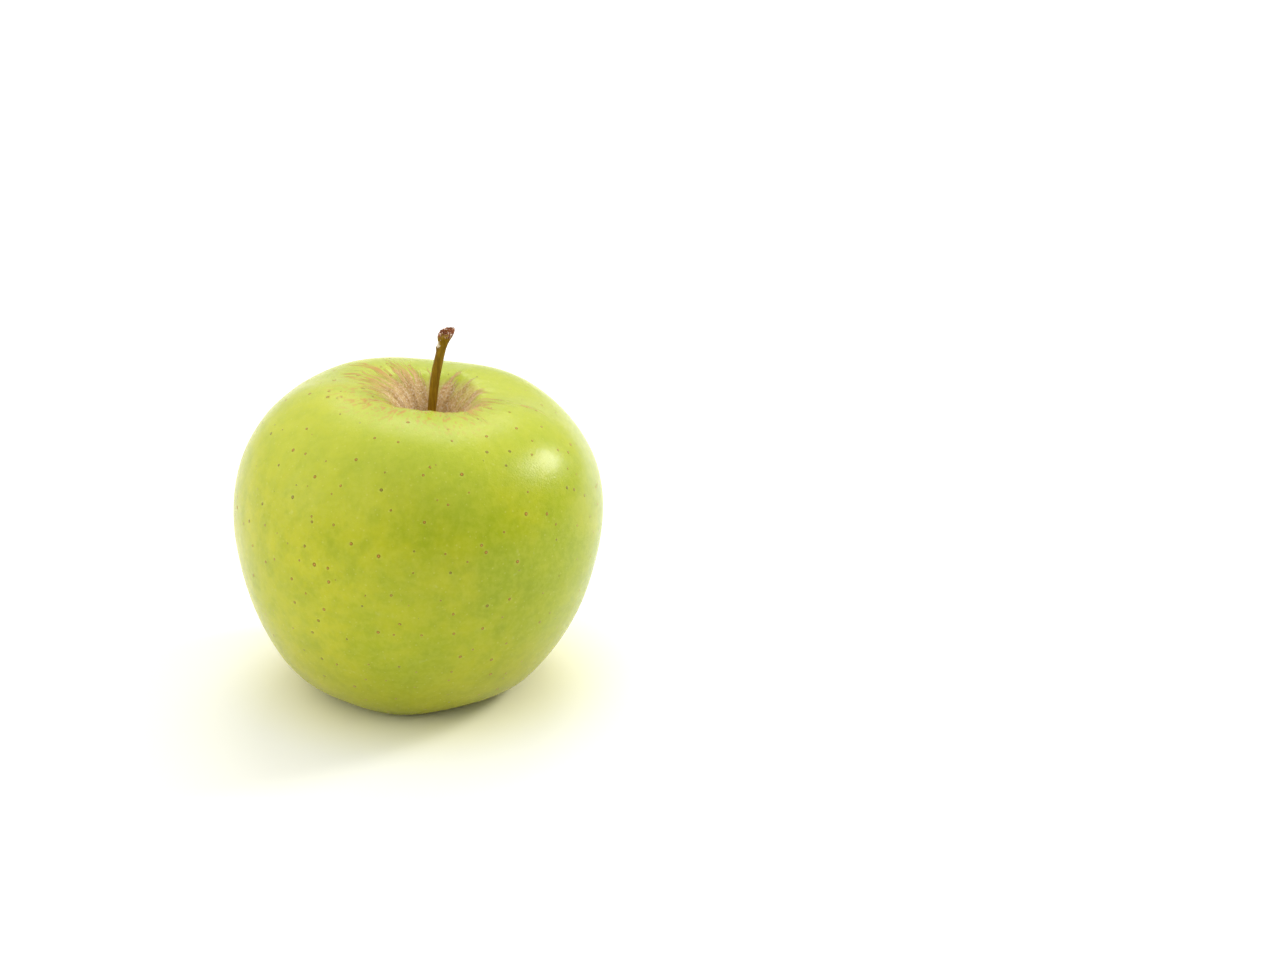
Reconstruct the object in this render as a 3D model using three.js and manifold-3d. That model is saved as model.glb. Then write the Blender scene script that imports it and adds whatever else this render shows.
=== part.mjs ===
import * as THREE from 'three';
import { mergeVertices } from 'three/addons/utils/BufferGeometryUtils.js';
import Module from 'manifold-3d';

// A ripe apple with its woody stem, and in its eye what is left of the flower: five
// dried sepals, the ring of stamens and the styles. Millimetres, +Z up, the fruit
// standing upright on the five feet round its eye.

const wasm = await Module();
wasm.setup();

// Fruit, its outline from the axis out. A pull is how far a curve runs straight on
// from its end before it turns.
const fruitDiameter = 79;
const widestHeight = 38;
const widestPullUp = 11.6;
const widestPullDown = 16;
const shoulderHeight = 66;
const shoulderRadius = 14.2;
const shoulderPullOut = 19.3;
const shoulderPullIn = 9.5;
const cavityDepth = 16;
const cavityFloorPull = 2.5;
const footRadius = 17.5;
const footPullOut = 11.4;
const footPullIn = 6;
const basinDepth = 9;
const eyeRadius = 3.3;
const eyePull = 5;
const eyeTubeDepth = 3.6;
const eyeTubeTaper = 0.4;       // how much narrower the tube of the eye is at its floor
const fruitSides = 55;

// How the fruit leaves the round: five lobes, a body a little deeper than it is wide,
// and a crown that leans to one side.
const lobeCount = 5;
const lobeDirection = THREE.MathUtils.degToRad(-96);
const flankLobeSwell = 0.004;
const crownLobeSwell = 0.014;
const footLobeRise = 0.9;
const crownLobeRise = 0.3;
const bodyDeepening = 0.012;
const crownLean = 2.3;
const crownRiseLeft = 3.1;
const crownRiseFront = 1.1;
const cavityShift = 2.2;
const footFlattening = 0.35;   // worn off each foot where the fruit stands on it

// Stem
const stemRise = 28.9;         // tip above the bottom of the cavity
const stemLean = 4.1;
const stemLeanBack = 1.2;
const stemUprightPull = 12;
const stemTipPull = 9;
const stemTipSlope = 0.35;
const stemRootDepth = 3;
const stemRootRadius = 1.3;
const stemRootEndRadius = 0.9;
const stemBarkRadius = 0.92;
const stemFlareRadius = 1.6;
const stemFlareLength = 4.5;
const stemTipSlant = 0.45;     // rise of the broken end, across it
const stemSides = 14;

// Dried flower in the eye
const sepalCount = 5;
const sepalLength = 8;
const sepalWidth = 3.6;
const sepalThickness = 0.6;
const sepalSetback = 1.6;      // from the rim of the eye out to a sepal's root
const sepalInwardPull = 1.4;
const sepalTipCurl = 3.2;
const stamenCount = 11;
const stamenRadius = 0.22;
const stamenLength = 4.6;
const stamenBend = 0.5;          // most that a filament strays sideways
const stamenRingThickness = 0.32;
const stamenRingDepth = 1.2;   // up inside the tube of the eye
const styleCount = 5;
const styleRadius = 0.26;
const styleLength = 4;
const styleSplay = 0.9;
const styleColumnRadius = 0.7;
const styleColumnHeight = 2;

const clearance = 0.3;         // between pieces that meet

const material = {
  skin: new THREE.MeshStandardMaterial({ color: '#b3b02a', roughness: 0.34, metalness: 0 }),
  bark: new THREE.MeshStandardMaterial({ color: '#6b4f1c', roughness: 0.72, metalness: 0 }),
  sepal: new THREE.MeshStandardMaterial({ color: '#7d7a55', roughness: 0.9, metalness: 0 }),
  thread: new THREE.MeshStandardMaterial({ color: '#5a4326', roughness: 0.9, metalness: 0 }),
};

const plane = (x, y) => new THREE.Vector2(x, y);
const space = (x, y, z) => new THREE.Vector3(x, y, z);

function round(outline, sides) {
  return new THREE.LatheGeometry(outline, sides).rotateX(Math.PI / 2);
}

function solid(geometry) {
  const bare = geometry.clone();
  bare.deleteAttribute('normal');
  bare.deleteAttribute('uv');
  const merged = mergeVertices(bare, 1e-4);
  const corners = [];
  for (let i = 0; i < merged.index.count; i += 3) {
    const [a, b, c] = [merged.index.getX(i), merged.index.getX(i + 1), merged.index.getX(i + 2)];
    if (a !== b && b !== c && c !== a) corners.push(a, b, c);
  }
  return new wasm.Manifold(new wasm.Mesh({
    numProp: 3,
    vertProperties: new Float32Array(merged.attributes.position.array),
    triVerts: new Uint32Array(corners),
  }));
}

function meshOf(name, body, finish) {
  const { vertProperties, triVerts } = body.getMesh();
  const geometry = new THREE.BufferGeometry();
  geometry.setAttribute('position', new THREE.BufferAttribute(vertProperties, 3));
  geometry.setIndex(new THREE.BufferAttribute(triVerts, 1));
  geometry.computeVertexNormals();
  const mesh = new THREE.Mesh(geometry, finish);
  mesh.name = name;
  return mesh;
}

// Moves every corner of a shape to where `move` says.
function reshape(geometry, move) {
  const position = geometry.attributes.position;
  const corner = new THREE.Vector3();
  for (let i = 0; i < position.count; i += 1) {
    corner.fromBufferAttribute(position, i);
    const moved = move(corner);
    position.setXYZ(i, moved.x, moved.y, moved.z);
  }
  return geometry;
}

// Bends a piece that stands straight up from z = 0, `length` long, along a curve. Its
// own x side keeps facing `side`, and what stands past either end runs straight on.
function bendAlong(geometry, curve, length, side) {
  return reshape(geometry, (corner) => {
    const along = THREE.MathUtils.clamp(corner.z / length, 0, 1);
    const tangent = curve.getTangentAt(along);
    const across = side.clone().addScaledVector(tangent, -side.dot(tangent)).normalize();
    const other = tangent.clone().cross(across);
    return curve.getPointAt(along)
      .addScaledVector(tangent, corner.z - along * length)
      .addScaledVector(across, corner.x)
      .addScaledVector(other, corner.y);
  });
}

// ---- Fruit

const cavityFloor = shoulderHeight - cavityDepth;
const eyeTubeFloor = basinDepth + eyeTubeDepth;

function fruitOutline() {
  const radius = fruitDiameter / 2;
  const cavity = new THREE.CubicBezierCurve(
    plane(0, cavityFloor), plane(cavityFloorPull, cavityFloor),
    plane(shoulderRadius - shoulderPullIn, shoulderHeight), plane(shoulderRadius, shoulderHeight));
  const shoulder = new THREE.CubicBezierCurve(
    plane(shoulderRadius, shoulderHeight), plane(shoulderRadius + shoulderPullOut, shoulderHeight),
    plane(radius, widestHeight + widestPullUp), plane(radius, widestHeight));
  const flank = new THREE.CubicBezierCurve(
    plane(radius, widestHeight), plane(radius, widestHeight - widestPullDown),
    plane(footRadius + footPullOut, 0), plane(footRadius, 0));
  const basin = new THREE.CubicBezierCurve(
    plane(footRadius, 0), plane(footRadius - footPullIn, 0),
    plane(eyeRadius + eyePull, basinDepth), plane(eyeRadius, basinDepth));
  return [
    ...cavity.getPoints(10).slice(0, -1),
    ...shoulder.getPoints(11).slice(0, -1),
    ...flank.getPoints(14).slice(0, -1),
    ...basin.getPoints(8),
    plane(eyeRadius - eyeTubeTaper, eyeTubeFloor),
    plane(0, eyeTubeFloor),
  ].reverse();
}

// Where a point of the plain round outline ends up on the grown fruit.
function grown(radius, angle, height) {
  const rise = THREE.MathUtils.clamp(height / shoulderHeight, 0, 1);
  const lobe = Math.cos(lobeCount * (angle - lobeDirection));
  const nearCrown = rise ** 4 * Math.min(1, radius / shoulderRadius) ** 2;
  const nearFoot = (1 - rise) ** 12 * Math.min(1, radius / footRadius) ** 2;
  const inCavity = height > shoulderHeight / 2 && radius < shoulderRadius
    ? (1 - (radius / shoulderRadius) ** 4) ** 2 : 0;
  const swell = 1 + flankLobeSwell * lobe * (1 - rise) ** 1.5
    + crownLobeSwell * lobe * rise ** 2 - bodyDeepening * Math.cos(2 * angle);
  const tilt = -crownRiseLeft * Math.cos(angle) - crownRiseFront * Math.sin(angle);
  return space(
    radius * swell * Math.cos(angle) + crownLean * rise + cavityShift * inCavity,
    radius * swell * Math.sin(angle),
    height - footFlattening
      + crownLobeRise * lobe * nearCrown
      + footLobeRise * (1 - lobe) / 2 * nearFoot
      + tilt * (radius / (fruitDiameter / 2)) * rise ** 3);
}

const stemSeat = grown(0, 0, cavityFloor);
const eyeCentre = grown(0, 0, basinDepth);
const sepalSeat = eyeRadius + sepalSetback;
const stamenRingRadius = eyeRadius - eyeTubeTaper * stamenRingDepth / eyeTubeDepth
  - clearance - stamenRingThickness;

function fruitBody() {
  const shape = reshape(round(fruitOutline(), fruitSides), (corner) => grown(
    Math.hypot(corner.x, corner.y), Math.atan2(corner.y, corner.x), corner.z));
  const under = new THREE.BoxGeometry(fruitDiameter * 2, fruitDiameter * 2, fruitDiameter);
  under.translate(0, 0, -fruitDiameter / 2);
  return solid(shape).subtract(solid(under)).subtract(solid(stemShape(clearance)));
}

// ---- Stem

const stemLength = stemRise + stemRootDepth;

function stemCurve() {
  const tip = stemSeat.clone().add(space(stemLean, stemLeanBack, stemRise));
  const tipDirection = space(stemTipSlope, 0, 1).normalize();
  return new THREE.CubicBezierCurve3(
    stemSeat.clone().setZ(stemSeat.z - stemRootDepth),
    stemSeat.clone().setZ(stemSeat.z + stemUprightPull),
    tip.clone().addScaledVector(tipDirection, -stemTipPull),
    tip);
}

// The stem swells at its root and flares at the end where it broke from the spur.
// `extra` makes it that much fatter and longer, for the socket in the fruit.
function stemShape(extra) {
  const flareStart = stemLength - stemFlareLength;
  const outline = new THREE.SplineCurve([
    plane(stemRootRadius + extra, 1),
    plane(stemRootRadius + extra, stemRootDepth),
    plane(stemBarkRadius + extra, stemRootDepth * 3),
    plane(stemBarkRadius + extra, stemLength / 2),
    plane(stemBarkRadius + extra, flareStart),
    plane(stemFlareRadius + extra, stemLength),
  ]).getPoints(16);
  const straight = round([
    plane(0, -extra), plane(stemRootEndRadius + extra, -extra), ...outline,
    plane(0, stemLength)], stemSides);
  const slanted = reshape(straight, (corner) => {
    const nearTip = Math.max(0, (corner.z - flareStart) / stemFlareLength);
    return corner.setZ(corner.z + stemTipSlant * corner.x * nearTip);
  });
  return bendAlong(slanted, stemCurve(), stemLength, space(1, 0, 0));
}

// ---- Dried flower

// Height of the basin's skin at a distance from the eye's axis, without the lobes.
function basinHeight(radius) {
  const outline = fruitOutline().filter((point) => point.y <= basinDepth && point.x <= footRadius);
  const after = outline.findIndex((point) => point.x >= radius);
  const [inner, outer] = [outline[after - 1], outline[after]];
  const share = (radius - inner.x) / (outer.x - inner.x);
  return inner.y + share * (outer.y - inner.y) - footFlattening;
}

function sepalShape(direction) {
  const halfWidth = sepalWidth / 2;
  const outline = new THREE.SplineCurve([
    plane(halfWidth * 0.7, 0), plane(halfWidth, sepalLength * 0.25),
    plane(halfWidth * 0.7, sepalLength * 0.65), plane(halfWidth * 0.12, sepalLength)]);
  const flat = round([plane(0, 0), ...outline.getPoints(9), plane(0, sepalLength)], 12);
  flat.scale(1, sepalThickness / sepalWidth, 1);
  const root = basinHeight(sepalSeat) - clearance;
  const drop = sepalLength - sepalTipCurl;
  const hang = new THREE.CubicBezierCurve3(
    space(sepalSeat, 0, root), space(sepalSeat - sepalInwardPull, 0, root - drop * 0.6),
    space(sepalSeat - sepalInwardPull, 0, root - drop),
    space(sepalSeat - sepalInwardPull / 2 + sepalTipCurl, 0, root - drop));
  return bendAlong(flat, hang, sepalLength, space(0, 1, 0))
    .rotateZ(direction).translate(eyeCentre.x, eyeCentre.y, 0);
}

// One dried filament with a small knob near its end.
function thread(length, radius, curve) {
  const outline = [plane(0, 0), plane(radius, 0), plane(radius, length / 2),
    plane(radius, length * 0.85), plane(radius * 1.4, length * 0.93), plane(0, length)];
  return bendAlong(round(outline, 6), curve, length, space(0, 1, 0));
}

function stamensBody() {
  const ringHeight = eyeCentre.z + stamenRingDepth;
  const ring = new THREE.TorusGeometry(stamenRingRadius, stamenRingThickness, 6, 22);
  let stamens = solid(ring.translate(0, 0, ringHeight));
  for (let i = 0; i < stamenCount; i += 1) {
    const bend = stamenBend * Math.sin(i * 2.4);
    const curve = new THREE.QuadraticBezierCurve3(
      space(stamenRingRadius, 0, ringHeight),
      space(stamenRingRadius - 0.3, bend * 0.5, ringHeight - stamenLength / 2),
      space(stamenRingRadius - 0.5, bend, ringHeight - stamenLength));
    const stamen = thread(stamenLength, stamenRadius, curve).rotateZ(i * 2 * Math.PI / stamenCount);
    stamens = stamens.add(solid(stamen));
  }
  return stamens.translate([eyeCentre.x, eyeCentre.y, 0]);
}

function stylesBody() {
  const top = eyeCentre.z + eyeTubeDepth - clearance;
  const column = new THREE.CylinderGeometry(
    styleColumnRadius, styleColumnRadius * 0.8, styleColumnHeight, 12).rotateX(Math.PI / 2);
  let styles = solid(column.translate(0, 0, top - styleColumnHeight / 2));
  for (let i = 0; i < styleCount; i += 1) {
    const start = top - styleColumnHeight + styleRadius;
    const curve = new THREE.QuadraticBezierCurve3(
      space(styleColumnRadius - styleRadius, 0, start),
      space(styleColumnRadius - styleRadius, 0, start - styleLength / 2),
      space(styleSplay, 0, start - styleLength));
    const style = thread(styleLength, styleRadius, curve).rotateZ(i * 2 * Math.PI / styleCount);
    styles = styles.add(solid(style));
  }
  return styles.translate([eyeCentre.x, eyeCentre.y, 0]);
}

// ---- The apple

const apple = new THREE.Group();
apple.add(meshOf('fruit', fruitBody(), material.skin));
apple.add(meshOf('stem', solid(stemShape(0)), material.bark));
for (let i = 0; i < sepalCount; i += 1) {
  const direction = lobeDirection + i * 2 * Math.PI / sepalCount;
  apple.add(meshOf(`sepal_${i + 1}`, solid(sepalShape(direction)), material.sepal));
}
apple.add(meshOf('stamens', stamensBody(), material.thread));
apple.add(meshOf('styles', stylesBody(), material.thread));

// The origin is on the surface under the middle of the apple.
const middle = new THREE.Box3().setFromObject(apple).getCenter(space(0, 0, 0));
apple.position.set(-middle.x, -middle.y, 0);

export default apple;
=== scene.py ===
import math
import random

import bmesh
import bpy
from mathutils import Matrix, Vector, geometry, noise


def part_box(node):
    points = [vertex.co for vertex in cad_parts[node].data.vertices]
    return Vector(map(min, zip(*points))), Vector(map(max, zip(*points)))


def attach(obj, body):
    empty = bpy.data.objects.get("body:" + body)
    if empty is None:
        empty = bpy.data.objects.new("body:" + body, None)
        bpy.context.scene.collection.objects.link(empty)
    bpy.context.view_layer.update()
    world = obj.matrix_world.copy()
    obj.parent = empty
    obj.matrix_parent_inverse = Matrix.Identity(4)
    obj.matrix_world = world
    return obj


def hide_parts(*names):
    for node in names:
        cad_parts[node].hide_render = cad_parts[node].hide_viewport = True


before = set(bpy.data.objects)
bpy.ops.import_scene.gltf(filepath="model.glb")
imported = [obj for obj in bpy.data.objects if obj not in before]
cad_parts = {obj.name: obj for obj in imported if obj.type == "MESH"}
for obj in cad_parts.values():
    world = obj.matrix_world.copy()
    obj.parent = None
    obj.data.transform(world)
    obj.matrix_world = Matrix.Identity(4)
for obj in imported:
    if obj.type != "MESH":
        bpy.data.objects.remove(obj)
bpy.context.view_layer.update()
MM = 0.001


# ---- Fruit ----
# A ripe yellow-green apple: one waxy skin over the flesh, drawn in to a funnel round the
# stem and to a shallow puckered basin round the eye. It grew with five soft lobes, its
# crown leans a little, and the feet it stands on are pressed flat.

FRUIT_RADIUS = 39.5
WIDEST_HEIGHT = 38
SHOULDER_HEIGHT = 66
SHOULDER_RADIUS = 14.2
CAVITY_DEPTH = 16
FOOT_RADIUS = 17.5
BASIN_DEPTH = 9
EYE_RADIUS = 3.3
EYE_TUBE_DEPTH = 3.6
EYE_TUBE_TAPER = 0.4
LOBES = 5
LOBE_DIRECTION = math.radians(-96)
FRUIT_SIDES = 360
CROWN_LEAN = 2.3
CAVITY_SHIFT = 2.2
FOOT_FLATTENING = 0.35


def curve_points(start, start_pull, end_pull, end, steps):
    """A smooth stretch of outline, as (radius, height), without its last point."""
    ends = [Vector((r, 0, z)) for r, z in (start, start_pull, end_pull, end)]
    return geometry.interpolate_bezier(*ends, steps + 1)[:-1]


def fruit_outline():
    floor = SHOULDER_HEIGHT - CAVITY_DEPTH
    shoulder = (SHOULDER_RADIUS, SHOULDER_HEIGHT)
    widest = (FRUIT_RADIUS, WIDEST_HEIGHT)
    foot = (FOOT_RADIUS, 0)
    eye = (EYE_RADIUS, BASIN_DEPTH)
    tube = (EYE_RADIUS - EYE_TUBE_TAPER, BASIN_DEPTH + EYE_TUBE_DEPTH)
    top = (0, tube[1])
    return [
        *curve_points((0, floor), (2.5, floor), (SHOULDER_RADIUS - 9.5, SHOULDER_HEIGHT), shoulder, 52),
        *curve_points(shoulder, (SHOULDER_RADIUS + 19.3, SHOULDER_HEIGHT),
                      (FRUIT_RADIUS, WIDEST_HEIGHT + 11.6), widest, 64),
        *curve_points(widest, (FRUIT_RADIUS, WIDEST_HEIGHT - 16), (FOOT_RADIUS + 11.4, 0), foot, 64),
        *curve_points(foot, (FOOT_RADIUS - 6, 0), (EYE_RADIUS + 5, BASIN_DEPTH), eye, 34),
        *curve_points(eye, (EYE_RADIUS - 0.5, BASIN_DEPTH), (tube[0], tube[1] - 2), tube, 8),
        *curve_points(tube, (tube[0] - 1, tube[1]), (1, tube[1]), top, 4),
        Vector((0, 0, tube[1])),
    ]


def grown(radius, angle, height):
    """Where a point of the plain round outline ends up on the grown fruit."""
    rise = min(1, max(0, height / SHOULDER_HEIGHT))
    lobe = math.cos(LOBES * (angle - LOBE_DIRECTION))
    near_crown = rise ** 4 * min(1, radius / SHOULDER_RADIUS) ** 2
    near_foot = (1 - rise) ** 12 * min(1, radius / FOOT_RADIUS) ** 2
    in_cavity = 0
    if height > SHOULDER_HEIGHT / 2 and radius < SHOULDER_RADIUS:
        in_cavity = (1 - (radius / SHOULDER_RADIUS) ** 4) ** 2
    swell = (1 + 0.004 * lobe * (1 - rise) ** 1.5 + 0.014 * lobe * rise ** 2
             - 0.012 * math.cos(2 * angle))
    tilt = -3.1 * math.cos(angle) - 1.1 * math.sin(angle)
    return Vector((
        radius * swell * math.cos(angle) + CROWN_LEAN * rise + CAVITY_SHIFT * in_cavity,
        radius * swell * math.sin(angle),
        height - FOOT_FLATTENING + 0.3 * lobe * near_crown + 0.9 * (1 - lobe) / 2 * near_foot
        + tilt * radius / FRUIT_RADIUS * rise ** 3))


def spun(outline, sides):
    """A bmesh of the outline turned once round the upright axis, closed at its poles."""
    bm = bmesh.new()
    line = [bm.verts.new(point) for point in outline]
    edges = [bm.edges.new(pair) for pair in zip(line, line[1:])]
    bmesh.ops.spin(bm, geom=line + edges, axis=(0, 0, 1), cent=(0, 0, 0),
                   angle=2 * math.pi, steps=sides, use_merge=True)
    bmesh.ops.remove_doubles(bm, verts=bm.verts, dist=1e-4)
    bmesh.ops.recalc_face_normals(bm, faces=bm.faces)
    return bm


def piece(name, bm, material, stands_for):
    """Turns a finished bmesh in millimetres into a piece that rides on the apple."""
    bmesh.ops.scale(bm, vec=(MM, MM, MM), verts=bm.verts)
    mesh = bpy.data.meshes.new(name)
    bm.to_mesh(mesh)
    bm.free()
    mesh.shade_smooth()
    made = bpy.data.objects.new(name, mesh)
    bpy.context.scene.collection.objects.link(made)
    made.data.materials.append(material)
    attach(made, "root")
    if stands_for:
        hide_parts(*stands_for)
    return made


def paint(colour):
    """The linear colour of a paint chip written as a hex value."""
    parts = [int(colour[i:i + 2], 16) / 255 for i in (1, 3, 5)]
    return [p / 12.92 if p <= 0.04045 else ((p + 0.055) / 1.055) ** 2.4 for p in parts] + [1]


def feed(tree, socket, value):
    if isinstance(value, bpy.types.NodeSocket):
        tree.links.new(value, socket)
    else:
        socket.default_value = value


def add(tree, kind, inputs=None, **settings):
    node = tree.nodes.new("ShaderNode" + kind)
    for name, value in settings.items():
        setattr(node, name, value)
    for name, value in (inputs or {}).items():
        feed(tree, node.inputs[name], value)
    return node


def maths(tree, operation, *values):
    node = add(tree, "Math", operation=operation)
    for socket, value in zip(node.inputs, values):
        feed(tree, socket, value)
    return node.outputs[0]


def blend(tree, share, first, second):
    node = add(tree, "Mix", data_type="RGBA")
    for index, value in ((0, share), (6, first), (7, second)):
        feed(tree, node.inputs[index], value)
    return node.outputs[2]


def tint(tree, mask, strength, colour, over):
    """The colour with a second one laid over it where the mask is, at a given strength."""
    return blend(tree, maths(tree, "MULTIPLY", mask, strength), colour, paint(over))


def ramp(tree, value, start, end):
    """0 where the value is at start and 1 where it is at end, with a soft turn at both."""
    node = add(tree, "MapRange", interpolation_type="SMOOTHSTEP")
    for index, given in ((0, value), (1, start), (2, end), (3, 0.0), (4, 1.0)):
        feed(tree, node.inputs[index], given)
    return node.outputs[0]


def make_cloud():
    """Group: soft patches of a given size, from 0 to 1, for colour that drifts over a surface."""
    group = bpy.data.node_groups.new("cloud", "ShaderNodeTree")
    group.interface.new_socket("Place", in_out="INPUT", socket_type="NodeSocketVector")
    for name in ("Size", "Detail", "Start", "End"):
        group.interface.new_socket(name, in_out="INPUT", socket_type="NodeSocketFloat")
    group.interface.new_socket("Mask", in_out="OUTPUT", socket_type="NodeSocketFloat")
    inlet = group.nodes.new("NodeGroupInput")
    outlet = group.nodes.new("NodeGroupOutput")
    scale = maths(group, "DIVIDE", 1.0, inlet.outputs["Size"])
    field = add(group, "TexNoise", {"Vector": inlet.outputs["Place"], "Scale": scale,
                                    "Detail": inlet.outputs["Detail"], "Roughness": 0.55})
    mask = ramp(group, field.outputs[0], inlet.outputs["Start"], inlet.outputs["End"])
    group.links.new(mask, outlet.inputs["Mask"])
    return group


CLOUD = make_cloud()


def cloud(tree, place, size, start=0.35, end=0.65, detail=2.0):
    node = add(tree, "Group", node_tree=CLOUD)
    for name, value in (("Place", place), ("Size", size), ("Detail", detail),
                        ("Start", start), ("End", end)):
        feed(tree, node.inputs[name], value)
    return node.outputs[0]


def new_material(name):
    """A material with its Principled shader, and the place on the piece in millimetres."""
    material = bpy.data.materials.new(name)
    material.use_nodes = True
    tree = material.node_tree
    surface = tree.nodes["Principled BSDF"]
    where = add(tree, "TexCoord").outputs["Object"]
    place = add(tree, "VectorMath", {0: where, "Scale": 1 / MM}, operation="SCALE").outputs[0]
    return material, tree, surface, place


def emboss(tree, surface, height):
    """Raises the surface by a height in millimetres, without changing its shape."""
    bump = add(tree, "Bump", {"Strength": 1.0, "Distance": MM, "Height": height})
    feed(tree, surface.inputs["Normal"], bump.outputs[0])


def shifted(tree, place, x, y, z):
    node = add(tree, "VectorMath", {0: place, 1: (x, y, z)}, operation="ADD")
    return node.outputs[0]


def stretched(tree, vector, by):
    return add(tree, "VectorMath", {0: vector, "Scale": by}, operation="SCALE").outputs[0]


def spots(tree, place, spacing, least, most, share):
    """Round marks strewn over the surface: how far out in its mark a point is, 1 at the rim."""
    cells = add(tree, "TexVoronoi", {"Vector": place, "Scale": 1 / spacing})
    to_mark = add(tree, "VectorMath", {0: cells.outputs["Position"], 1: place},
                  operation="SUBTRACT").outputs[0]
    facing = add(tree, "NewGeometry").outputs["Normal"]
    deep = add(tree, "VectorMath", {0: to_mark, 1: facing}, operation="DOT_PRODUCT").outputs["Value"]
    far = add(tree, "VectorMath", {0: to_mark}, operation="LENGTH").outputs["Value"]
    beside = maths(tree, "SUBTRACT", maths(tree, "MULTIPLY", far, far),
                   maths(tree, "MULTIPLY", deep, deep))
    beside = maths(tree, "SQRT", maths(tree, "MAXIMUM", beside, 0.0))
    ragged = add(tree, "TexNoise", {"Vector": place, "Scale": 3.5}).outputs[0]
    uneven = maths(tree, "MULTIPLY", maths(tree, "SUBTRACT", ragged, 0.5), least)
    beside = maths(tree, "ADD", beside, uneven)
    luck = add(tree, "SeparateColor", {0: cells.outputs["Color"]})
    size = maths(tree, "ADD", maths(tree, "MULTIPLY", luck.outputs[0], most - least), least)
    there = maths(tree, "LESS_THAN", luck.outputs[1], share)
    size = maths(tree, "ADD", maths(tree, "MULTIPLY", size, there), 0.0001)
    return maths(tree, "DIVIDE", beside, size)


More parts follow.
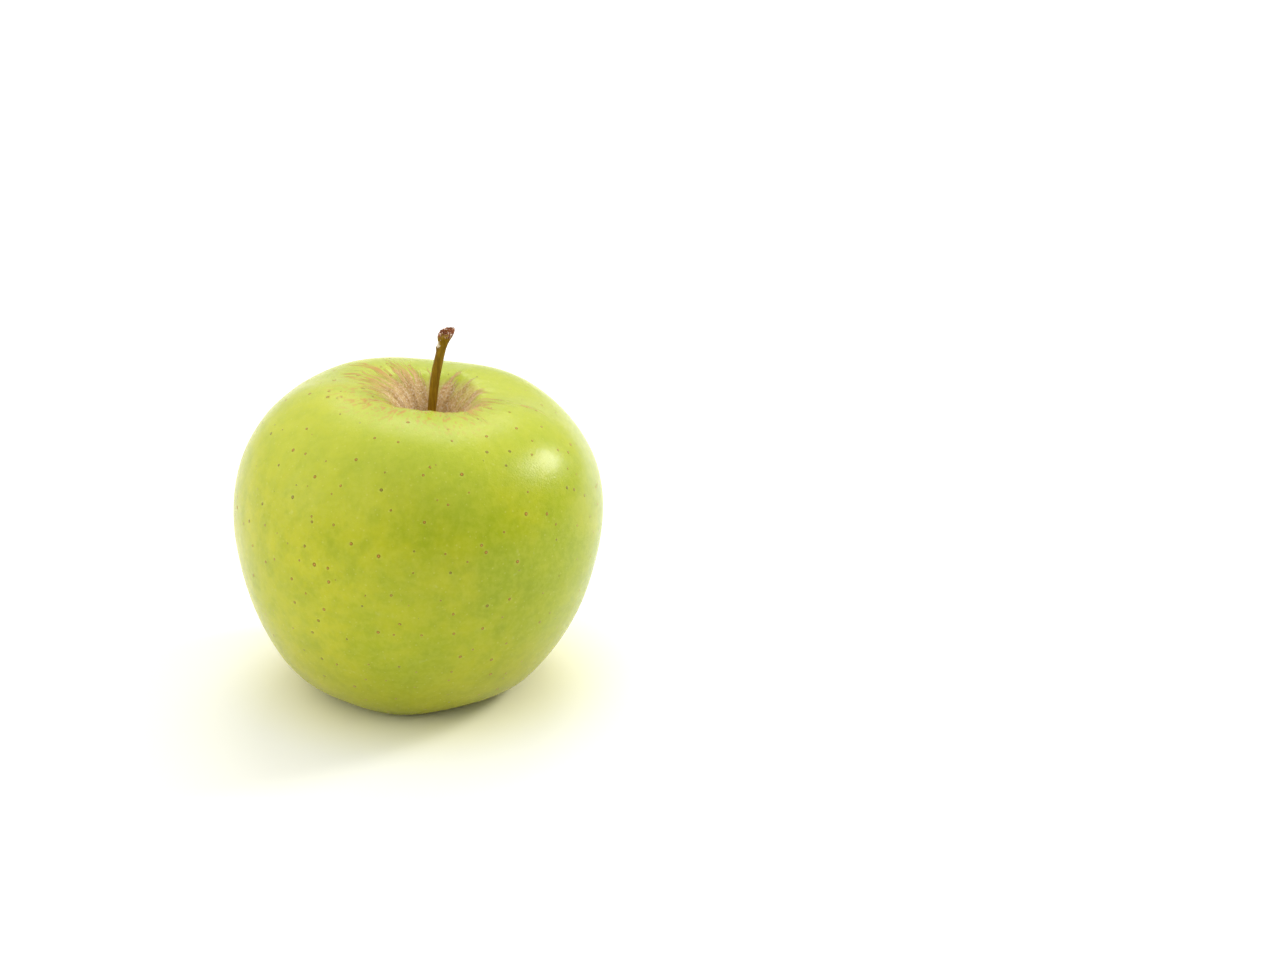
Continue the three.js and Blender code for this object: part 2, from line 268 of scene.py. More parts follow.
def skin_material(axis, eye):
    """Waxy skin. axis is where the stem cavity's middle stands, eye the middle of the eye."""
    material, tree, surface, place = new_material("skin")
    apart = add(tree, "SeparateXYZ", {0: place})
    across, height = apart.outputs[0], apart.outputs[2]

    # Distance and direction from the stem, for what runs out from it.
    wander = add(tree, "TexNoise", {"Vector": place, "Scale": 0.14}).outputs[1]
    bent = add(tree, "VectorMath", {0: stretched(tree, wander, 5.0), 1: (2.5, 2.5, 2.5)},
               operation="SUBTRACT").outputs[0]
    strayed = add(tree, "VectorMath", {0: place, 1: bent}, operation="ADD").outputs[0]
    flat = shifted(tree, strayed, -axis.x, -axis.y, 0)
    flat = add(tree, "VectorMath", {0: flat, 1: (1, 1, 0)}, operation="MULTIPLY").outputs[0]
    out = add(tree, "VectorMath", {0: flat}, operation="LENGTH").outputs["Value"]
    way = add(tree, "VectorMath", {0: flat}, operation="NORMALIZE").outputs[0]
    upper = ramp(tree, height, 42.0, 50.0)

    # Ground colour: fresh green that turns to yellow in clouds, paler round the crown.
    ripe = cloud(tree, place, 24.0, 0.38, 0.62, 3.0)
    colour = blend(tree, ripe, paint("#95a408"), paint("#a9af12"))
    # Yellower and lighter towards the left: partly the skin's own yellow, partly painted light on the
    # side the left lamps fall on.
    left_yellow_and_painted_light = maths(tree, "MULTIPLY", ramp(tree, across, 8.0, -26.0), 0.65)
    colour = blend(tree, left_yellow_and_painted_light, colour, paint("#bfbd22"))
    green = cloud(tree, shifted(tree, place, 31, 7, 5), 10.0, 0.42, 0.72, 4.0)
    colour = tint(tree, green, 0.4, colour, "#869a0a")
    mottle = cloud(tree, shifted(tree, place, 3, 17, 25), 3.6, 0.42, 0.66, 5.0)
    colour = tint(tree, mottle, 0.38, colour, "#889a0a")
    fine = cloud(tree, place, 1.2, 0.36, 0.68, 6.0)
    colour = tint(tree, fine, 0.28, colour, "#c0c440")
    rays_near = stretched(tree, way, 14.0)
    run = add(tree, "CombineXYZ", {2: maths(tree, "MULTIPLY", out, 0.1)}).outputs[0]
    drawn = add(tree, "VectorMath", {0: rays_near, 1: run}, operation="ADD").outputs[0]
    # Paler round the crown: partly the skin's own paler green, partly painted light from above.
    crown_pale_and_painted_light = maths(tree, "MULTIPLY", ramp(tree, height, 46.0, 64.0), 0.45)
    colour = blend(tree, crown_pale_and_painted_light, colour, paint("#b4c03a"))
    veins = maths(tree, "MULTIPLY", cloud(tree, drawn, 1.0, 0.4, 0.75, 3.0),
                  ramp(tree, height, 30.0, 60.0))
    colour = tint(tree, veins, 0.12, colour, "#c4c850")
    low = maths(tree, "MULTIPLY", ramp(tree, height, 26.0, 2.0), 0.4)
    colour = blend(tree, low, colour, paint("#989204"))
    bloom = cloud(tree, shifted(tree, place, 5, 5, 5), 2.2, 0.66, 0.8, 3.0)
    bloom = maths(tree, "MULTIPLY", bloom, 0.25)
    colour = blend(tree, bloom, colour, paint("#cdd27c"))

    # Lenticels: small corky pores, each in a faint pale ring, among still finer pale specks.
    speck = spots(tree, shifted(tree, place, 40, 0, 9), 2.3, 0.10, 0.24, 0.6)
    colour = tint(tree, ramp(tree, speck, 1.2, 0.5), 0.3, colour, "#cfd06c")
    pores = spots(tree, place, 5.6, 0.14, 0.38, 0.76)
    halo = ramp(tree, pores, 2.6, 1.0)
    pore = ramp(tree, pores, 1.15, 0.75)
    heart = ramp(tree, pores, 0.55, 0.25)
    colour = tint(tree, halo, 0.15, colour, "#cfd06c")
    aged = blend(tree, cloud(tree, place, 9.0, 0.5, 0.62), paint("#925c00"), paint("#605800"))
    colour = blend(tree, maths(tree, "MULTIPLY", pore, 0.9), colour, aged)
    colour = tint(tree, heart, 0.7, colour, "#dcae50")

    # Russet: dry cork that fills the stem cavity and runs out of it in rays, farthest to one side.
    def toward(x, y, start, end):
        lean = add(tree, "VectorMath", {0: way, 1: (x, y, 0)}, operation="DOT_PRODUCT").outputs["Value"]
        return ramp(tree, lean, start, end)

    sheaf = add(tree, "TexNoise", {"Vector": stretched(tree, way, 3.2), "Scale": 1.0,
                                   "Detail": 2.0}).outputs[0]
    reach = maths(tree, "ADD", maths(tree, "MULTIPLY", ramp(tree, sheaf, 0.4, 0.66), 14.0), 4.0)
    reach = maths(tree, "ADD", reach, maths(tree, "MULTIPLY", toward(-0.8, 0.6, 0.45, 1.0), 13.0))
    reach = maths(tree, "ADD", reach, maths(tree, "MULTIPLY", toward(0.92, -0.4, 0.86, 1.0), 8.0))
    share = maths(tree, "DIVIDE", maths(tree, "SUBTRACT", out, 6.0), reach)
    hair_place = add(tree, "VectorMath", {0: stretched(tree, way, 36.0), 1: run},
                     operation="ADD").outputs[0]
    bundles = add(tree, "TexNoise", {"Vector": drawn, "Scale": 0.8, "Detail": 2.0}).outputs[0]
    threads = add(tree, "TexNoise", {"Vector": hair_place, "Scale": 1.0, "Detail": 3.0}).outputs[0]
    rays = maths(tree, "ADD", maths(tree, "MULTIPLY", bundles, 0.5),
                 maths(tree, "MULTIPLY", threads, 0.5))
    edge = maths(tree, "ADD", maths(tree, "MULTIPLY", share, 0.37), 0.32)
    russet = ramp(tree, rays, edge, maths(tree, "ADD", edge, 0.11))
    gaps = cloud(tree, shifted(tree, place, 2, 8, 4), 2.4, 0.3, 0.55, 3.0)
    gaps = maths(tree, "MAXIMUM", gaps, ramp(tree, out, 20.0, 9.0))
    russet = maths(tree, "MAXIMUM", russet, maths(tree, "MULTIPLY", ramp(tree, out, 11.5, 6.5), 0.85))
    russet = maths(tree, "MULTIPLY", maths(tree, "MULTIPLY", russet, upper), gaps)
    cork = blend(tree, cloud(tree, stretched(tree, drawn, 2.0), 1.0, 0.3, 0.75, 4.0),
                 paint("#bd8660"), paint("#ddb592"))
    cork = tint(tree, cloud(tree, place, 0.45, 0.45, 0.7), 0.5, cork, "#e6cfae")
    crumbs = maths(tree, "MULTIPLY", ramp(tree, out, 15.0, 9.0), 0.7)
    pale_crumbs = cloud(tree, shifted(tree, place, 7, 3, 2), 0.42, 0.52, 0.62, 3.0)
    dark_crumbs = cloud(tree, shifted(tree, place, 1, 9, 6), 0.5, 0.54, 0.66, 3.0)
    cork = blend(tree, maths(tree, "MULTIPLY", dark_crumbs, crumbs), cork, paint("#9c6640"))
    cork = blend(tree, maths(tree, "MULTIPLY", pale_crumbs, crumbs), cork, paint("#f0d8c4"))
    # Darker at the bottom of the funnel round the stem: painted shade over the cork.
    cork = tint(tree, ramp(tree, out, 6.0, 2.0), 0.35, cork, "#9a7540")
    cork = blend(tree, ramp(tree, out, 7.0, 15.0), cork, paint("#bd8650"))
    colour = blend(tree, maths(tree, "MULTIPLY", russet, 0.8), colour, cork)

    # A few loose flecks of the same cork on the front of the crown.
    flecks = cloud(tree, add(tree, "VectorMath", {0: drawn, 1: stretched(tree, place, 0.6)},
                             operation="ADD").outputs[0], 1.0, 0.54, 0.59, 2.0)
    near_front = maths(tree, "MULTIPLY", ramp(tree, out, 25.0, 15.0), toward(-0.4, -0.92, 0.2, 0.75))
    flecks = maths(tree, "MULTIPLY", flecks, maths(tree, "MULTIPLY", near_front, upper))
    colour = tint(tree, flecks, 0.75, colour, "#b9802f")

    # Round the eye the skin is greener and darker, partly its own green and partly painted shade in the
    # basin, and the tube of the eye is brown and dry.
    from_eye = add(tree, "VectorMath", {0: place, 1: eye}, operation="DISTANCE").outputs["Value"]
    colour = tint(tree, ramp(tree, from_eye, 13.0, 4.5), 0.6, colour, "#6f7d12")
    scab = ramp(tree, maths(tree, "ADD", from_eye, maths(tree, "MULTIPLY", fine, 1.2)), 5.6, 4.2)
    colour = blend(tree, scab, colour, paint("#4a3417"))
    feed(tree, surface.inputs["Base Color"], colour)

    # Wax shines softly; cork doesn't.
    dull = maths(tree, "MAXIMUM", maths(tree, "MAXIMUM", russet, scab),
                 maths(tree, "MULTIPLY", pore, 0.8))
    smear = cloud(tree, shifted(tree, place, 3, 50, 9), 5.0, 0.3, 0.7, 3.0)
    shine = maths(tree, "ADD", maths(tree, "MULTIPLY", smear, 0.05), 0.22)
    shine = maths(tree, "ADD", shine, maths(tree, "MULTIPLY", dull, 0.38))
    feed(tree, surface.inputs["Roughness"], shine)

    peel = add(tree, "TexNoise", {"Vector": place, "Scale": 2.1, "Detail": 3.0,
                                  "Roughness": 0.7}).outputs[0]
    rough = add(tree, "TexNoise", {"Vector": drawn, "Scale": 2.2, "Detail": 5.0,
                                   "Roughness": 0.7}).outputs[0]
    relief = maths(tree, "MULTIPLY", peel, 0.08)
    relief = maths(tree, "ADD", relief, maths(tree, "MULTIPLY", pore, 0.05))
    rough_parts = maths(tree, "MULTIPLY", maths(tree, "MULTIPLY", rough, dull), 0.3)
    relief = maths(tree, "ADD", relief, rough_parts)
    emboss(tree, surface, relief)
    surface.inputs["Coat Weight"].default_value = 0.13
    surface.inputs["Coat Roughness"].default_value = 0.2
    surface.inputs["Specular IOR Level"].default_value = 0.22
    surface.inputs["Subsurface Weight"].default_value = 0.12
    surface.inputs["Subsurface Radius"].default_value = (1.0, 0.8, 0.2)
    surface.inputs["Subsurface Scale"].default_value = 2.0 * MM
    return material


def middle_of(low, high):
    return (low + high) / 2


def make_fruit():
    bm = spun(fruit_outline(), FRUIT_SIDES)
    for vert in bm.verts:
        radius = math.hypot(vert.co.x, vert.co.y)
        vert.co = grown(radius, math.atan2(vert.co.y, vert.co.x), vert.co.z)
    low = Vector([min(v.co[i] for v in bm.verts) for i in range(3)])
    high = Vector([max(v.co[i] for v in bm.verts) for i in range(3)])
    cad_middle = middle_of(*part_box("fruit")) / MM
    shift = cad_middle - middle_of(low, high)
    shift.z = 0
    seat = grown(0, 0, SHOULDER_HEIGHT - CAVITY_DEPTH) + shift
    eye = grown(0, 0, BASIN_DEPTH) + shift
    for vert in bm.verts:
        vert.co += shift
        place = vert.co
        # The skin is never quite even: broad dents, flutes in the cavity, puckers round the eye.
        dent = noise.noise(place / 19) * 0.32 + noise.noise(place / 8 + Vector((9, 2, 5))) * 0.07
        from_stem = place - seat
        out = max(0.01, math.hypot(from_stem.x, from_stem.y))
        if place.z > SHOULDER_HEIGHT * 0.6:
            spoke = Vector((from_stem.x, from_stem.y, 0)) / out
            flute = noise.noise(spoke * 3.2 + Vector((4, 1, 0))) * 0.8 + noise.noise(spoke * 9) * 0.22
            dent += flute * math.exp(-((out - 8) / 5) ** 2)
            saddle = max(0, spoke.dot(Vector((0.88, -0.47, 0)))) ** 4
            dent -= 1.3 * saddle * math.exp(-((out - 10) / 5) ** 2)
        if place.z < BASIN_DEPTH + 1:
            about = place - eye
            out = max(0.01, math.hypot(about.x, about.y))
            turn = math.atan2(about.y, about.x)
            pucker = math.cos(LOBES * 2 * (turn - LOBE_DIRECTION) + 0.6 * math.sin(3 * turn))
            dent += 0.28 * pucker * math.exp(-((out - 7.5) / 3.2) ** 2)
        outward = vert.normal if vert.normal.length else Vector((0, 0, 1))
        vert.co = place + outward * dent
        vert.co.z = max(0, vert.co.z)
    bm.normal_update()
    piece("fruit_skin", bm, skin_material(seat, eye), ["fruit"])
    return seat, eye


stem_seat, eye_centre = make_fruit()


# ---- Stem ----
# The woody stalk that the apple hung by. It comes up out of the funnel, leans over to one
# side and thickens where it broke away from the spur, which left a ragged corky end.

STEM_RISE = 28.9
STEM_ROOT_DEPTH = 3
STEM_LENGTH = STEM_RISE + STEM_ROOT_DEPTH
STEM_RADIUS = 0.95
STEM_FLARE_RADIUS = 1.6
STEM_SIDES = 72
STEM_STEPS = 200
SCAR_HEIGHT = STEM_LENGTH - 4.1      # a torn scale on the left, below the broken end


def bend_along(bm, line, side):
    """Bends an upright piece along a line of points, its x side kept towards side."""
    steps = [(b - a).length for a, b in zip(line, line[1:])]
    for vert in bm.verts:
        left = vert.co.z
        index = 0
        while index < len(steps) - 1 and left > steps[index]:
            left -= steps[index]
            index += 1
        along = (line[index + 1] - line[index]).normalized()
        if 0 < index < len(steps) - 1:
            share = left / steps[index]
            ahead = (line[index + 2] - line[index + 1]).normalized()
            along = along.lerp(ahead, share).normalized()
        across = (side - along * side.dot(along)).normalized()
        other = along.cross(across)
        start = line[index] + (line[index + 1] - line[index]).normalized() * left
        vert.co = start + across * vert.co.x + other * vert.co.y


def bark_material(tip_middle, scar_place):
    """Bark. tip_middle is the middle of the hollow at the broken end, painted near-black as its shade;
    scar_place a torn scar on the side.
    """
    material, tree, surface, place = new_material("bark")
    height = add(tree, "SeparateXYZ", {0: place}).outputs[2]
    fibres = add(tree, "VectorMath", {0: place, 1: (1, 1, 0.07)}, operation="MULTIPLY").outputs[0]
    strand = cloud(tree, fibres, 0.3, 0.25, 0.75, 5.0)
    colour = blend(tree, strand, paint("#6b4f00"), paint("#977608"))
    blotch = cloud(tree, place, 2.4, 0.42, 0.75, 3.0)
    colour = tint(tree, blotch, 0.45, colour, "#664404")
    # Darker low down, where the stem stands in the funnel: painted shade.
    funnel_painted_shade = ramp(tree, height, 57.0, 50.0)
    colour = tint(tree, funnel_painted_shade, 0.5, colour, "#4c3005")
    ragged_end = maths(tree, "ADD", height, maths(tree, "MULTIPLY", cloud(tree, place, 0.8), 1.2))
    torn = blend(tree, cloud(tree, place, 0.28, 0.35, 0.7, 4.0), paint("#45160c"), paint("#a8623e"))
    fresh = cloud(tree, shifted(tree, place, 4, 4, 4), 0.4, 0.56, 0.64, 3.0)
    torn = blend(tree, fresh, torn, paint("#f0dccb"))
    colour = blend(tree, maths(tree, "MULTIPLY", ramp(tree, ragged_end, 77.4, 78.0), 0.9), colour, torn)
    # Near-black in the hollow of the broken end: painted shade.
    middle = add(tree, "VectorMath", {0: place, 1: tip_middle}, operation="DISTANCE").outputs["Value"]
    colour = tint(tree, ramp(tree, middle, 1.1, 0.6), 0.9, colour, "#2c0f08")
    wound = add(tree, "VectorMath", {0: place, 1: scar_place}, operation="DISTANCE").outputs["Value"]
    wound = maths(tree, "ADD", wound, maths(tree, "MULTIPLY", cloud(tree, place, 0.4), 0.4))
    colour = blend(tree, ramp(tree, wound, 1.15, 0.8), colour, paint("#dccfba"))
    colour = blend(tree, ramp(tree, wound, 0.5, 0.35), colour, paint("#2a1408"))
    feed(tree, surface.inputs["Base Color"], colour)
    surface.inputs["Roughness"].default_value = 0.6
    surface.inputs["Specular IOR Level"].default_value = 0.2
    lines = add(tree, "TexNoise", {"Vector": fibres, "Scale": 4.0, "Detail": 4.0}).outputs[0]
    emboss(tree, surface, maths(tree, "MULTIPLY", lines, 0.12))
    return material


def make_stem():
    flare = STEM_LENGTH - 4.5
    outline = [
        *curve_points((0, 0), (0.9, 0), (1.3, 0.4), (1.3, 1.5), 6),
        *curve_points((1.3, 1.5), (1.3, 5), (STEM_RADIUS, 5), (STEM_RADIUS, 9), 26),
        *curve_points((STEM_RADIUS, 9), (STEM_RADIUS, 15), (STEM_RADIUS, 20), (STEM_RADIUS, flare), 60),
        *curve_points((STEM_RADIUS, flare), (STEM_RADIUS, flare + 2.5),
                      (STEM_FLARE_RADIUS, STEM_LENGTH - 1.5), (STEM_FLARE_RADIUS, STEM_LENGTH), 26),
        *curve_points((STEM_FLARE_RADIUS, STEM_LENGTH), (STEM_FLARE_RADIUS - 0.1, STEM_LENGTH + 0.15),
                      (1.25, STEM_LENGTH + 0.1), (1.0, STEM_LENGTH - 0.35), 8),
        *curve_points((1.0, STEM_LENGTH - 0.35), (0.7, STEM_LENGTH - 0.9),
                      (0.3, STEM_LENGTH - 0.9), (0, STEM_LENGTH - 0.9), 8),
        Vector((0, 0, STEM_LENGTH - 0.9)),
    ]
    bm = spun(outline, STEM_SIDES)
    for vert in bm.verts:
        place = vert.co
        out = math.hypot(place.x, place.y)
        if out > 0.01:
            round_ = Vector((place.x, place.y, 0)) / out
            ridge = noise.noise(round_ * 2.6 + Vector((0, 0, place.z / 9))) * 0.10
            ridge += noise.noise(round_ * 7 + Vector((0, 0, place.z / 5))) * 0.05
            ridge += noise.noise(place / 1.3) * 0.05
            vert.co += round_ * ridge * min(1, out)
        near_tip = max(0, (place.z - flare) / 4.5)
        torn = noise.noise(place * 1.4 + Vector((3, 8, 1))) * 0.6 + noise.noise(place * 3.5) * 0.4
        # It broke off aslant, higher at the right and the back, and left a ragged edge.
        vert.co.z += near_tip * (0.55 * vert.co.x + 0.35 * vert.co.y - 0.35)
        vert.co.z += max(0, near_tip - 0.75) * 4 * torn * 0.5
        away = (place - Vector((-STEM_RADIUS, 0, SCAR_HEIGHT))).length
        if out > 0.01:
            vert.co += round_ * 0.3 * math.exp(-(away / 0.5) ** 2)
    tip = stem_seat + Vector((4.1, 1.2, STEM_RISE))
    slope = Vector((0.35, 0, 1)).normalized()
    line = geometry.interpolate_bezier(
        stem_seat - Vector((0, 0, STEM_ROOT_DEPTH)), stem_seat + Vector((0, 0, 12)),
        tip - slope * 9, tip, STEM_STEPS)
    bend_along(bm, line, Vector((1, 0, 0)))
    bmesh.ops.recalc_face_normals(bm, faces=bm.faces)
    scar = line[int(STEM_STEPS * SCAR_HEIGHT / STEM_LENGTH)] - Vector((STEM_RADIUS + 0.15, 0.3, 0))
    piece("stem_bark", bm, bark_material(line[-1] - slope * 0.3, scar), ["stem"])


make_stem()


# ---- Sepals ----
# Five withered leaves of the old flower. They hang from the basin round the eye, lean in
# over it and curl away at their tips; they're dry, crumpled and felted with short hairs.

SEPAL_LENGTH = 8
SEPAL_WIDTH = 3.6
SEPAL_SEAT = EYE_RADIUS + 1.6
SEPAL_INWARD_PULL = 1.4
SEPAL_TIP_CURL = 3.2
SEPAL_THICKNESS = 0.16
SEPAL_HAIRS = 160


def sepal_material():
    material, tree, surface, place = new_material("sepal")
    height = add(tree, "SeparateXYZ", {0: place}).outputs[2]
    felt = cloud(tree, place, 0.8, 0.35, 0.65, 4.0)
    colour = blend(tree, felt, paint("#74744c"), paint("#b4b08c"))
    dry = cloud(tree, shifted(tree, place, 7, 1, 3), 2.2, 0.4, 0.6, 3.0)
    dry = maths(tree, "MAXIMUM", dry, ramp(tree, height, 5.2, 3.8))
    colour = tint(tree, dry, 0.6, colour, "#5a3f22")
    feed(tree, surface.inputs["Base Color"], colour)
    surface.inputs["Roughness"].default_value = 0.9
    surface.inputs["Specular IOR Level"].default_value = 0.2
    grain = add(tree, "TexNoise", {"Vector": place, "Scale": 3.0, "Detail": 4.0}).outputs[0]
    emboss(tree, surface, maths(tree, "MULTIPLY", grain, 0.12))
    return material


def add_hair(bm, root, direction, length, width):
    """A thin hair that narrows from its root to a point."""
    side = direction.orthogonal().normalized()
    other = direction.cross(side)
    rings = []
    for share in (0, 0.5):
        middle = root + direction * length * share + side * length * 0.2 * share * share
        ring = []
        for i in range(3):
            turn = i * 2 * math.pi / 3
            away = side * math.cos(turn) + other * math.sin(turn)
            ring.append(bm.verts.new(middle + away * width * (1 - share * 0.5)))
        rings.append(ring)
    point = bm.verts.new(root + direction * length + side * length * 0.2)
    for i in range(3):
        j = (i + 1) % 3
        bm.faces.new((rings[0][i], rings[0][j], rings[1][j], rings[1][i]))
        bm.faces.new((rings[1][i], rings[1][j], point))


def make_sepal(index, material):
    dice = random.Random(40 + index)
    direction = LOBE_DIRECTION + index * 2 * math.pi / LOBES
    bm = bmesh.new()
    bmesh.ops.create_grid(bm, x_segments=16, y_segments=36, size=1)
    offset = Vector((dice.uniform(0, 50), dice.uniform(0, 50), 0))
    roll = dice.uniform(0.35, 0.7)
    for vert in bm.verts:
        across, along = vert.co.x, (vert.co.y + 1) / 2
        half = SEPAL_WIDTH / 2 * (1 - along ** 1.6) ** 0.6
        half = half * (0.8 + 0.35 * math.sin(math.pi * along)) + 0.08
        half *= 1 + 0.12 * noise.noise(Vector((across * 2, along * 9, 3)) + offset)
        crumple = noise.noise(Vector((across * 1.8, along * 5, 0)) + offset) * 0.7
        crumple += noise.noise(Vector((across * 4, along * 11, 7)) + offset) * 0.3
        vein = 0.12 * math.exp(-(across * 6) ** 2)
        curl = roll * across * across * (0.4 + along)
        vert.co = Vector((across * half * (1 - 0.25 * roll * abs(across)),
                          curl + vein + crumple * (0.25 + along * 0.6), along * SEPAL_LENGTH))
    root = grown(SEPAL_SEAT, direction, BASIN_DEPTH - 0.4).z
    drop = SEPAL_LENGTH - SEPAL_TIP_CURL
    inner = SEPAL_SEAT - SEPAL_INWARD_PULL * dice.uniform(0.7, 1.1)
    line = geometry.interpolate_bezier(
        Vector((SEPAL_SEAT, 0, root)), Vector((inner, 0, root - drop * 0.6)),
        Vector((inner, 0, root - drop)),
        Vector((SEPAL_SEAT - 0.7 + SEPAL_TIP_CURL, 0, root - drop + dice.uniform(0, 1.2))), 60)
    bend_along(bm, line, Vector((0, 1, 0)))
    bm.normal_update()
    roots = [(face.calc_center_median(), face.normal.copy()) for face in bm.faces]
    bmesh.ops.solidify(bm, geom=list(bm.faces), thickness=SEPAL_THICKNESS)
    for _ in range(SEPAL_HAIRS):
        place, up = dice.choice(roots)
        lean = Vector([dice.uniform(-1, 1) for _ in range(3)]) * 0.7
        direction_out = (up * dice.choice((-1, 1)) + lean).normalized()
        add_hair(bm, place, direction_out, dice.uniform(0.4, 0.9), 0.03)
    bmesh.ops.rotate(bm, cent=(0, 0, 0), matrix=Matrix.Rotation(direction, 3, "Z"), verts=bm.verts)
    bmesh.ops.translate(bm, vec=(eye_centre.x, eye_centre.y, 0), verts=bm.verts)
    piece(f"sepal_{index + 1}_leaf", bm, material, [f"sepal_{index + 1}"])


felted = sepal_material()
for sepal_index in range(LOBES):
    make_sepal(sepal_index, felted)


# ---- Stamens and styles ----
# What's left of the flower inside the eye: a ring of dried stamens with their shrivelled
# anthers, and the five styles that come out of one short column in their middle.

RING_HEIGHT = 1.2
RING_THICKNESS = 0.32
RING_SIDES = 12
RING_RADIUS = EYE_RADIUS - EYE_TUBE_TAPER * RING_HEIGHT / EYE_TUBE_DEPTH - 0.3 - RING_THICKNESS
STAMENS = 11
STAMEN_LENGTH = 4.6
STYLE_LENGTH = 4
COLUMN_RADIUS = 0.7
COLUMN_HEIGHT = 2


def thread_material():
    material, tree, surface, place = new_material("thread")
    height = add(tree, "SeparateXYZ", {0: place}).outputs[2]
    dry = cloud(tree, place, 0.9, 0.4, 0.65, 4.0)
    colour = blend(tree, dry, paint("#8a6436"), paint("#c9a877"))
    # Darker where the threads run up inside the eye tube: painted shade.
    colour = tint(tree, ramp(tree, height, 7.4, 9.0), 0.8, colour, "#3b2612")
    feed(tree, surface.inputs["Base Color"], colour)
    surface.inputs["Roughness"].default_value = 0.8
    grain = add(tree, "TexNoise", {"Vector": place, "Scale": 5.0, "Detail": 3.0}).outputs[0]
    emboss(tree, surface, maths(tree, "MULTIPLY", grain, 0.06))
    return material


def add_tube(bm, line, radii, sides=8):
    """A closed round thread along a line of points, a radius for each point."""
    rings = []
    for index, point in enumerate(line):
        ahead = line[min(index + 1, len(line) - 1)] - line[max(index - 1, 0)]
        side = ahead.cross(Vector((0.3, 1, 0.2))).normalized()
        other = ahead.normalized().cross(side)
        rings.append([bm.verts.new(point + (side * math.cos(t) + other * math.sin(t)) * radii[index])
                      for t in [i * 2 * math.pi / sides for i in range(sides)]])
    for low, high in zip(rings, rings[1:]):
        for i in range(sides):
            j = (i + 1) % sides
            bm.faces.new((low[i], low[j], high[j], high[i]))
    bm.faces.new(rings[0][::-1])
    bm.faces.new(rings[-1])


def make_stamens(material):
    dice = random.Random(7)
    bm = bmesh.new()
    turns = [i * 2 * math.pi / RING_SIDES for i in range(RING_SIDES)]
    ring_line = [Vector((RING_RADIUS, 0, RING_HEIGHT + RING_THICKNESS * math.sin(t)))
                 + Vector((RING_THICKNESS * math.cos(t), 0, 0)) for t in turns]
    verts = [bm.verts.new(point) for point in ring_line]
    edges = [bm.edges.new((verts[i], verts[(i + 1) % RING_SIDES])) for i in range(RING_SIDES)]
    bmesh.ops.spin(bm, geom=verts + edges, axis=(0, 0, 1), cent=(0, 0, 0),
                   angle=2 * math.pi, steps=60, use_merge=True)
    for vert in bm.verts:
        vert.co.z += 0.12 * noise.noise(vert.co * 2)
    for i in range(STAMENS):
        turn = Matrix.Rotation((i + dice.uniform(-0.25, 0.25)) * 2 * math.pi / STAMENS, 3, "Z")
        stray = [Vector((dice.uniform(-0.7, 0.25), dice.uniform(-0.6, 0.6), 0)) for _ in range(3)]
        length = STAMEN_LENGTH * dice.uniform(0.75, 1.05)
        knots = [Vector((RING_RADIUS, 0, RING_HEIGHT)),
                 Vector((RING_RADIUS - 0.2, 0, RING_HEIGHT - length * 0.4)) + stray[0],
                 Vector((RING_RADIUS - 0.3, 0, RING_HEIGHT - length * 0.8)) + stray[1],
                 Vector((RING_RADIUS - 0.5, 0, RING_HEIGHT - length)) + stray[1] + stray[2]]
        line = [turn @ point for point in geometry.interpolate_bezier(*knots, 16)]
        add_tube(bm, line, [0.17 - 0.06 * k / 15 for k in range(16)])
        end, back = line[-1], (line[-1] - line[-2]).normalized()
        anther = [end - back * 0.15 + back * 0.9 * k / 7 for k in range(8)]
        add_tube(bm, anther, [0.08 + 0.22 * math.sin(math.pi * (k + 0.4) / 7.8) for k in range(8)])
    bmesh.ops.translate(bm, vec=eye_centre, verts=bm.verts)
    bmesh.ops.recalc_face_normals(bm, faces=bm.faces)
    piece("stamen_threads", bm, material, ["stamens"])


def make_styles(material):
    dice = random.Random(3)
    bm = bmesh.new()
    top = EYE_TUBE_DEPTH - 0.3
    column = [Vector((0, 0, top - COLUMN_HEIGHT * k / 9)) for k in range(10)]
    add_tube(bm, column, [COLUMN_RADIUS * (1 - 0.02 * k) for k in range(10)], 16)
    for i in range(LOBES):
        turn = Matrix.Rotation(i * 2 * math.pi / LOBES, 3, "Z")
        start = top - COLUMN_HEIGHT + 0.26
        splay = dice.uniform(0.6, 1.3)
        knots = [Vector((COLUMN_RADIUS - 0.26, 0, start)),
                 Vector((COLUMN_RADIUS - 0.26, 0, start - 1.6)),
                 Vector((0.5, dice.uniform(-0.5, 0.5), start - 2.8)),
                 Vector((splay, dice.uniform(-0.4, 0.4), start - STYLE_LENGTH * dice.uniform(0.85, 1)))]
        line = [turn @ point for point in geometry.interpolate_bezier(*knots, 18)]
        add_tube(bm, line, [0.24 - 0.005 * k + (0.12 if k > 15 else 0) for k in range(18)])
    bmesh.ops.translate(bm, vec=eye_centre, verts=bm.verts)
    bmesh.ops.recalc_face_normals(bm, faces=bm.faces)
    piece("style_threads", bm, material, ["styles"])


dried = thread_material()
make_stamens(dried)
make_styles(dried)


# ---- Stage ----
# A seamless pale surface under soft studio light, which isn't part of the apple. Where the
# apple stands it is painted faintly yellow: painted light that the apple throws back into its shadow.

FLOOR_GAP = 0.05 * MM     # keeps the floor out of the plane of the feet
WHITE_FLOOR = (0.92, 0.92, 0.92, 1)
PAINTED_BOUNCE_FLOOR = (0.965, 0.94, 0.76, 1)


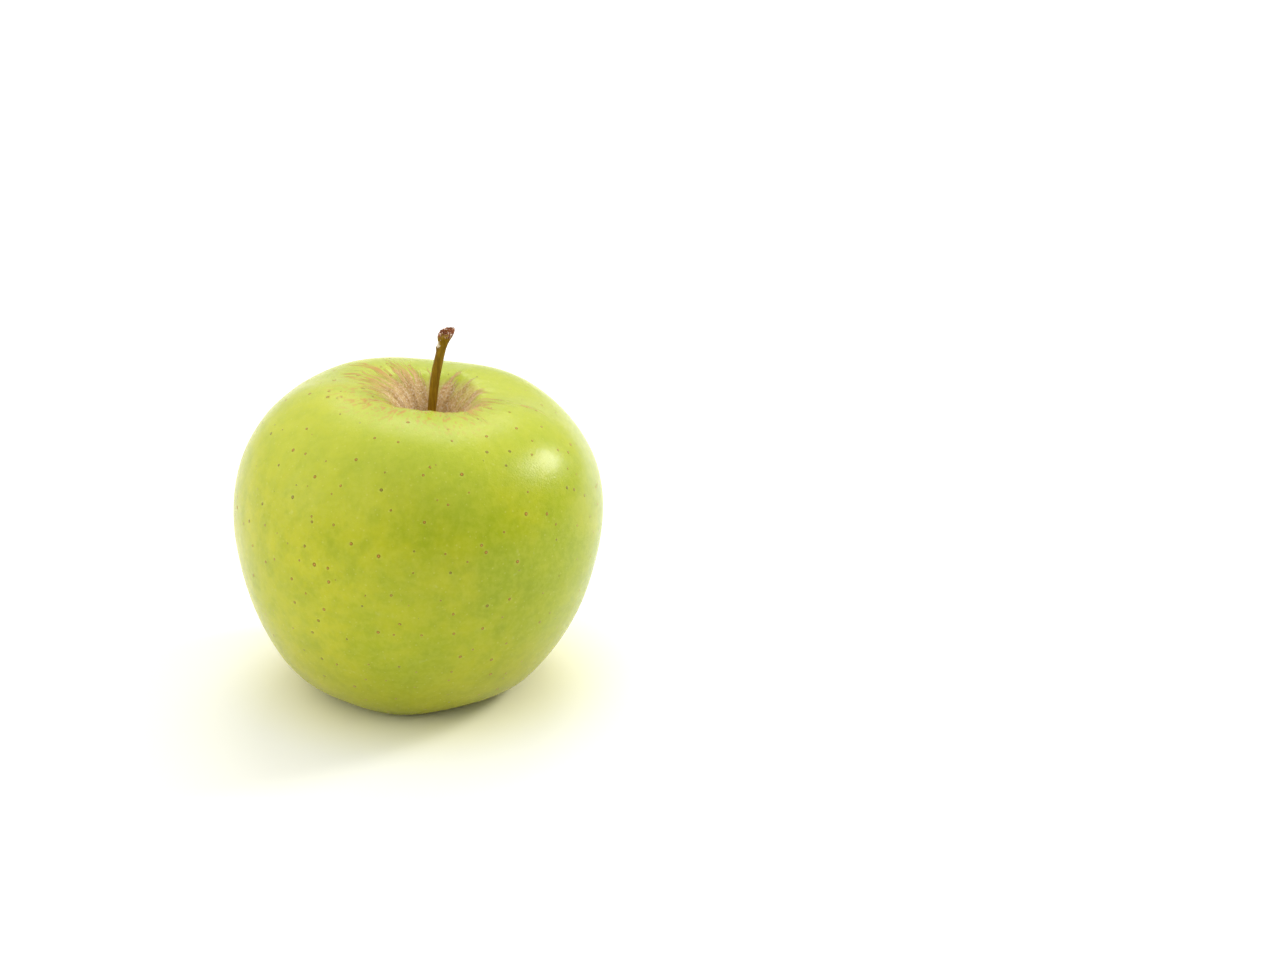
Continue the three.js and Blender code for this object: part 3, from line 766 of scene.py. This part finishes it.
def make_floor():
    bm = bmesh.new()
    bmesh.ops.create_grid(bm, x_segments=2, y_segments=2, size=3)
    mesh = bpy.data.meshes.new("floor")
    bm.to_mesh(mesh)
    bm.free()
    floor = bpy.data.objects.new("floor", mesh)
    bpy.context.scene.collection.objects.link(floor)
    floor.location.z = -FLOOR_GAP
    material = bpy.data.materials.new("floor")
    material.use_nodes = True
    tree = material.node_tree
    surface = tree.nodes["Principled BSDF"]
    where = add(tree, "TexCoord").outputs["Object"]
    away = add(tree, "VectorMath", {0: where}, operation="LENGTH").outputs["Value"]
    # Painted yellow light, as if thrown back from the apple, on the floor round where it stands.
    colour = blend(tree, ramp(tree, away, 0.046, 0.024), WHITE_FLOOR, PAINTED_BOUNCE_FLOOR)
    feed(tree, surface.inputs["Base Color"], colour)
    surface.inputs["Roughness"].default_value = 0.7
    surface.inputs["Specular IOR Level"].default_value = 0.2
    mesh.materials.append(material)


make_floor()


WARM = (1, 0.99, 0.93)
LAMP_DISTANCE = 1.1
LAMP_TARGET = Vector((0, 0, 0.035))


def softbox(name, turn, rise, size, power):
    """A softbox turn degrees round from the right and rise degrees up, aimed at the apple."""
    turn, rise = math.radians(turn), math.radians(rise)
    place = Vector((LAMP_DISTANCE * math.cos(rise) * math.cos(turn),
                    LAMP_DISTANCE * math.cos(rise) * math.sin(turn),
                    LAMP_DISTANCE * math.sin(rise) + 0.04))
    light = bpy.data.lights.new(name, "AREA")
    light.shape = "RECTANGLE"
    light.size, light.size_y = size
    light.energy = power
    light.color = WARM
    lamp = bpy.data.objects.new(name, light)
    bpy.context.scene.collection.objects.link(lamp)
    lamp.location = place
    lamp.rotation_euler = (LAMP_TARGET - place).to_track_quat("-Z", "Y").to_euler()


softbox("overhead", 90, 84, (0.9, 0.9), 0.35)
softbox("back", 84, 50, (0.6, 0.5), 2.9)
softbox("key", 23, 28, (0.25, 0.3), 6.2)
softbox("left low", 185, 14, (0.5, 0.5), 0.95)
softbox("left high", 170, 38, (0.6, 0.6), 0.17)
softbox("front left", 225, 25, (0.6, 0.6), 0.45)

# The room is brighter above, behind and to the left than it is round the camera.
world = bpy.data.worlds.new("studio")
world.use_nodes = True
bpy.context.scene.world = world
tree = world.node_tree
backdrop = tree.nodes["Background"]
look = add(tree, "SeparateXYZ", {0: add(tree, "TexCoord").outputs["Generated"]})
glow = 0.34
for axis, gain in ((2, 0.85), (1, 0.2)):
    part = maths(tree, "MULTIPLY", maths(tree, "MAXIMUM", look.outputs[axis], 0.0), gain)
    glow = maths(tree, "ADD", part, glow)
left_part = maths(tree, "MULTIPLY", maths(tree, "MINIMUM", look.outputs[0], 0.0), -0.6)
glow = maths(tree, "ADD", glow, left_part)
seen = add(tree, "LightPath").outputs["Is Camera Ray"]
feed(tree, backdrop.inputs["Color"], blend(tree, seen, (*WARM, 1), (1, 1, 1, 1)))
feed(tree, backdrop.inputs["Strength"], maths(tree, "MAXIMUM", glow, seen))
bpy.context.scene.view_settings.view_transform = "Standard"


# ---- Camera ----
# It looks down on the apple from the front, with the apple to the left of the middle.

LOOK_DOWN = math.radians(23)
DISTANCE = 0.779
FOCAL_LENGTH = 100.5
aim = Vector((0.0466, 0.0239, 0.035))
lens = bpy.data.cameras.new("camera")
lens.sensor_width = 36
lens.lens = FOCAL_LENGTH
lens.clip_start = 0.01
camera = bpy.data.objects.new("camera", lens)
bpy.context.scene.collection.objects.link(camera)
camera.location = aim + DISTANCE * Vector((0, -math.cos(LOOK_DOWN), math.sin(LOOK_DOWN)))
camera.rotation_euler = (math.pi / 2 - LOOK_DOWN, 0, 0)
bpy.context.scene.camera = camera
